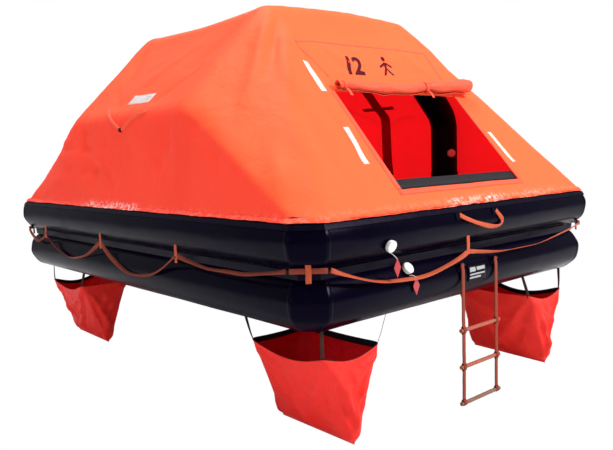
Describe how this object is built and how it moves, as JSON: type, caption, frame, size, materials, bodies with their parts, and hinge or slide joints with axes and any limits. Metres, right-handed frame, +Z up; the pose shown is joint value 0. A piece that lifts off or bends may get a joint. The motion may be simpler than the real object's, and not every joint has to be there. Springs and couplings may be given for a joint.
{
  "type": "inflatable liferaft",
  "caption": "Inflated rectangular liferaft with two stacked buoyancy tubes, arch-held orange canopy, rolled front door, boarding ladder, lifelines and hanging water pockets.",
  "frame": {"origin": "centre of the raft in plan, at the height of the lower tube's underside", "axes": "+Z up, +Y along the raft's length away from the entrance, +X across it"},
  "size_m": [2.5, 3.4771, 2.24],
  "materials": {
    "tube_fabric": "black rubber-coated fabric, semi-gloss",
    "floor_fabric": "dark grey rubber-coated fabric, matt",
    "canopy_fabric": "orange coated canopy fabric",
    "drain_sleeve_fabric": "dark red coated fabric",
    "pocket_fabric": "thin orange coated fabric",
    "hem_webbing": "black webbing",
    "orange_webbing": "orange webbing",
    "rung_sleeve": "orange sleeved rung tube",
    "reflective_tape": "pale retro-reflective tape",
    "marking_label": "plain pale marking patch",
    "tag_red": "red tag",
    "lanyard_cord": "white braided cord",
    "valve_plastic": "pale grey moulded plastic",
    "valve_seal": "black rubber",
    "cylinder_paint": "grey paint",
    "valve_brass": "machined brass"
  },
  "bodies": {
    "raft": {"arch_foot_cuffs": "tube_fabric", "arch_tube_front": "tube_fabric", "arch_tube_rear": "tube_fabric", "boarding_handle": "orange_webbing", "boarding_handle_patches": "tube_fabric", "canopy": "canopy_fabric", "canopy_lap_strip": "canopy_fabric", "door_curtain_roll": "canopy_fabric", "door_curtain_ties": "hem_webbing", "gas_cylinder": "cylinder_paint", "gas_cylinder_head": "valve_brass", "gas_cylinder_sleeve": "hem_webbing", "gas_cylinder_straps": "hem_webbing", "inflation_valve_lanyard": "lanyard_cord", "inflation_valve_tag": "tag_red", "inner_valley_web": "tube_fabric", "ladder_anchors": "tube_fabric", "lifeline_front": "orange_webbing", "lifeline_left": "orange_webbing", "lifeline_rear": "orange_webbing", "lifeline_right": "orange_webbing", "lifeline_tabs": "orange_webbing", "lower_buoyancy_tube": "tube_fabric", "marking_patch": "marking_label", "outer_valley_web": "tube_fabric", "pocket_hem_front_left": "hem_webbing", "pocket_hem_front_right": "hem_webbing", "pocket_hem_rear_left": "hem_webbing", "pocket_hem_rear_right": "hem_webbing", "pocket_straps": "orange_webbing", "raft_floor": "floor_fabric", "rain_drain_sleeve_left": "drain_sleeve_fabric", "rain_drain_sleeve_right": "drain_sleeve_fabric", "rain_gutter_left": "canopy_fabric", "rain_gutter_right": "canopy_fabric", "rear_door_curtain": "canopy_fabric", "reflective_tapes_front": "reflective_tape", "relief_valve_lanyard": "lanyard_cord", "relief_valve_tag": "tag_red", "roof_patch": "reflective_tape", "upper_buoyancy_tube": "tube_fabric", "valve_bodies": "valve_plastic", "valve_flanges": "tube_fabric", "water_pocket_front_left": "pocket_fabric", "water_pocket_front_right": "pocket_fabric", "water_pocket_rear_left": "pocket_fabric", "water_pocket_rear_right": "pocket_fabric"},
    "ladder": {"ladder_strap_left": "orange_webbing", "ladder_strap_right": "orange_webbing", "ladder_rung_upper": "rung_sleeve", "ladder_rung_middle": "rung_sleeve", "ladder_rung_lower": "rung_sleeve"},
    "inflation_cap": {"inflation_valve_cap": "valve_plastic"},
    "inflation_disc": {"inflation_valve_disc": "valve_seal"},
    "relief_cap": {"relief_valve_cap": "valve_plastic"},
    "relief_disc": {"relief_valve_disc": "valve_seal"},
    "arch_cap": {"arch_valve_cap": "valve_plastic"},
    "arch_disc": {"arch_valve_disc": "valve_seal"}
  },
  "joints": [
    {"name": "ladder_swing", "type": "hinge", "parent": "raft", "child": "ladder", "pos_m": [0, -1.69786, 0.19731], "axis": [-1, 0, 0], "range_deg": [0, 60]},
    {"name": "inflation_cap_turn", "type": "hinge", "parent": "raft", "child": "inflation_cap", "pos_m": [-0.735, -1.71756, 0.37081], "axis": [0, -0.9397, -0.342], "range_deg": [0, 180]},
    {"name": "inflation_disc_lift", "type": "slide", "parent": "raft", "child": "inflation_disc", "axis": [0, -0.9397, -0.342], "range_m": [0, 0.004], "stiffness_N_per_m": 200},
    {"name": "relief_cap_turn", "type": "hinge", "parent": "raft", "child": "relief_cap", "pos_m": [-0.56, -1.66781, 0.22425], "axis": [0, -0.7986, 0.6018], "range_deg": [0, 180]},
    {"name": "relief_disc_lift", "type": "slide", "parent": "raft", "child": "relief_disc", "axis": [0, -0.7986, 0.6018], "range_m": [0, 0.004], "stiffness_N_per_m": 200},
    {"name": "arch_cap_turn", "type": "hinge", "parent": "raft", "child": "arch_cap", "pos_m": [1.03945, -0.7405, 0.765], "axis": [-0.4226, -0.9063, 0], "range_deg": [0, 180]},
    {"name": "arch_disc_lift", "type": "slide", "parent": "raft", "child": "arch_disc", "axis": [-0.4226, -0.9063, 0], "range_m": [0, 0.004], "stiffness_N_per_m": 200}
  ]
}
